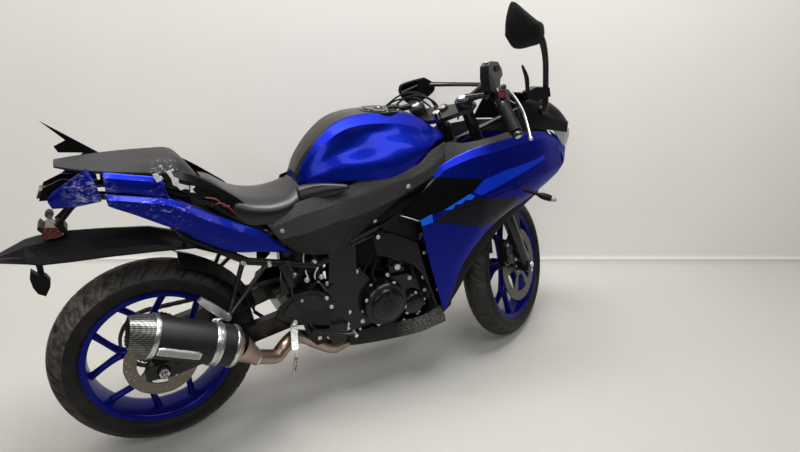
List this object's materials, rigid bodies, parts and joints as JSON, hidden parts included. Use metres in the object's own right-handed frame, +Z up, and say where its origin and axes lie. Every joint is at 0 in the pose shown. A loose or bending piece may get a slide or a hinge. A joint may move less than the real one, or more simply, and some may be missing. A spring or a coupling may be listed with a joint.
{
  "type": "sport bike",
  "caption": "Middleweight faired sport bike leaning on its side stand: turning wheels, steering, folding stand and hinged fuel cap; scuffed, screen missing.",
  "frame": {"origin": "on the floor, under the middle of the bounding box of the parked bike", "axes": "+X towards the front wheel along the level floor, +Y to the rider's left, +Z up"},
  "size_m": [2.0443, 0.762, 1.3373],
  "materials": {
    "frame_black": "satin",
    "engine_black": "satin",
    "radiator_black": "satin",
    "exhaust_bronze": "heat tinted",
    "can_black": "brushed satin",
    "chain_steel": "oiled",
    "caliper_black": "satin",
    "matte_black": "grained",
    "textured_black": "textured",
    "paint_blue": "gloss metallic",
    "panel_blue": "gloss",
    "panel_black": "gloss",
    "seat_vinyl": "grained vinyl",
    "lamp_red": "gloss",
    "lamp_clear": "clear",
    "alloy_silver": "satin",
    "fork_black": "satin",
    "grip_rubber": "matte",
    "rim_blue": "gloss metallic",
    "tyre_rubber": "matte",
    "disc_steel": "ground"
  },
  "bodies": {
    "chassis": {"frame": "frame_black", "subframe": "frame_black", "engine": "engine_black", "radiator": "radiator_black", "exhaust_pipe": "exhaust_bronze", "silencer": "can_black", "swingarm": "frame_black", "rear_shock": "frame_black", "drive_chain": "chain_steel", "rear_caliper": "caliper_black", "rear_mudguard": "matte_black", "rear_hugger": "matte_black", "plate_bracket": "matte_black", "fuel_tank": "paint_blue", "rider_seat": "seat_vinyl", "pillion_seat": "seat_vinyl", "tail_panels": "panel_blue", "tail_lamp": "lamp_red", "grab_rail": "panel_black", "side_covers": "textured_black", "right_fairing": "panel_blue", "left_fairing": "panel_blue", "belly_pan": "panel_black", "nose_cowl": "panel_blue", "headlamps": "lamp_clear", "dash_cowl": "matte_black", "mirrors": "matte_black", "indicators": "matte_black", "footrest_brackets": "caliper_black", "footrests": "alloy_silver", "pillion_footrests": "frame_black", "foot_levers": "frame_black"},
    "steering": {"triple_clamps": "alloy_silver", "fork_legs": "fork_black", "handlebars": "fork_black", "grips": "grip_rubber", "hand_levers": "alloy_silver", "front_mudguard": "matte_black", "front_caliper": "caliper_black"},
    "front_wheel": {"front_rim": "rim_blue", "front_tyre": "tyre_rubber", "front_disc": "disc_steel"},
    "rear_wheel": {"rear_rim": "rim_blue", "rear_tyre": "tyre_rubber", "rear_disc": "disc_steel", "rear_sprocket": "chain_steel"},
    "side_stand": {"side_stand": "frame_black"},
    "cap_lid": {"fuel_cap": "panel_black"}
  },
  "joints": [
    {"name": "steering_turn", "type": "hinge", "parent": "chassis", "child": "steering", "pos_m": [0.46551, -0.03444, 0.83052], "axis": [-0.4184, 0.1236, 0.8998], "range_deg": [-63.6, 0]},
    {"name": "front_wheel_spin", "type": "hinge", "parent": "steering", "child": "front_wheel", "pos_m": [0.75565, -0.08901, 0.28214], "axis": [-0.4792, 0.8116, -0.3343], "continuous": true},
    {"name": "rear_wheel_spin", "type": "hinge", "parent": "chassis", "child": "rear_wheel", "pos_m": [-0.61893, -0.10685, 0.30974], "axis": [-0.0006, 0.9907, -0.1364], "continuous": true},
    {"name": "side_stand_fold", "type": "hinge", "parent": "chassis", "child": "side_stand", "pos_m": [-0.07124, 0.04565, 0.24173], "axis": [0.1738, 0.8932, 0.4147], "range_deg": [0, 104.45]},
    {"name": "fuel_cap_open", "type": "hinge", "parent": "chassis", "child": "cap_lid", "pos_m": [0.24723, -0.01224, 0.99274], "axis": [-0.0006, 0.9907, -0.1364], "range_deg": [0, 90]}
  ]
}
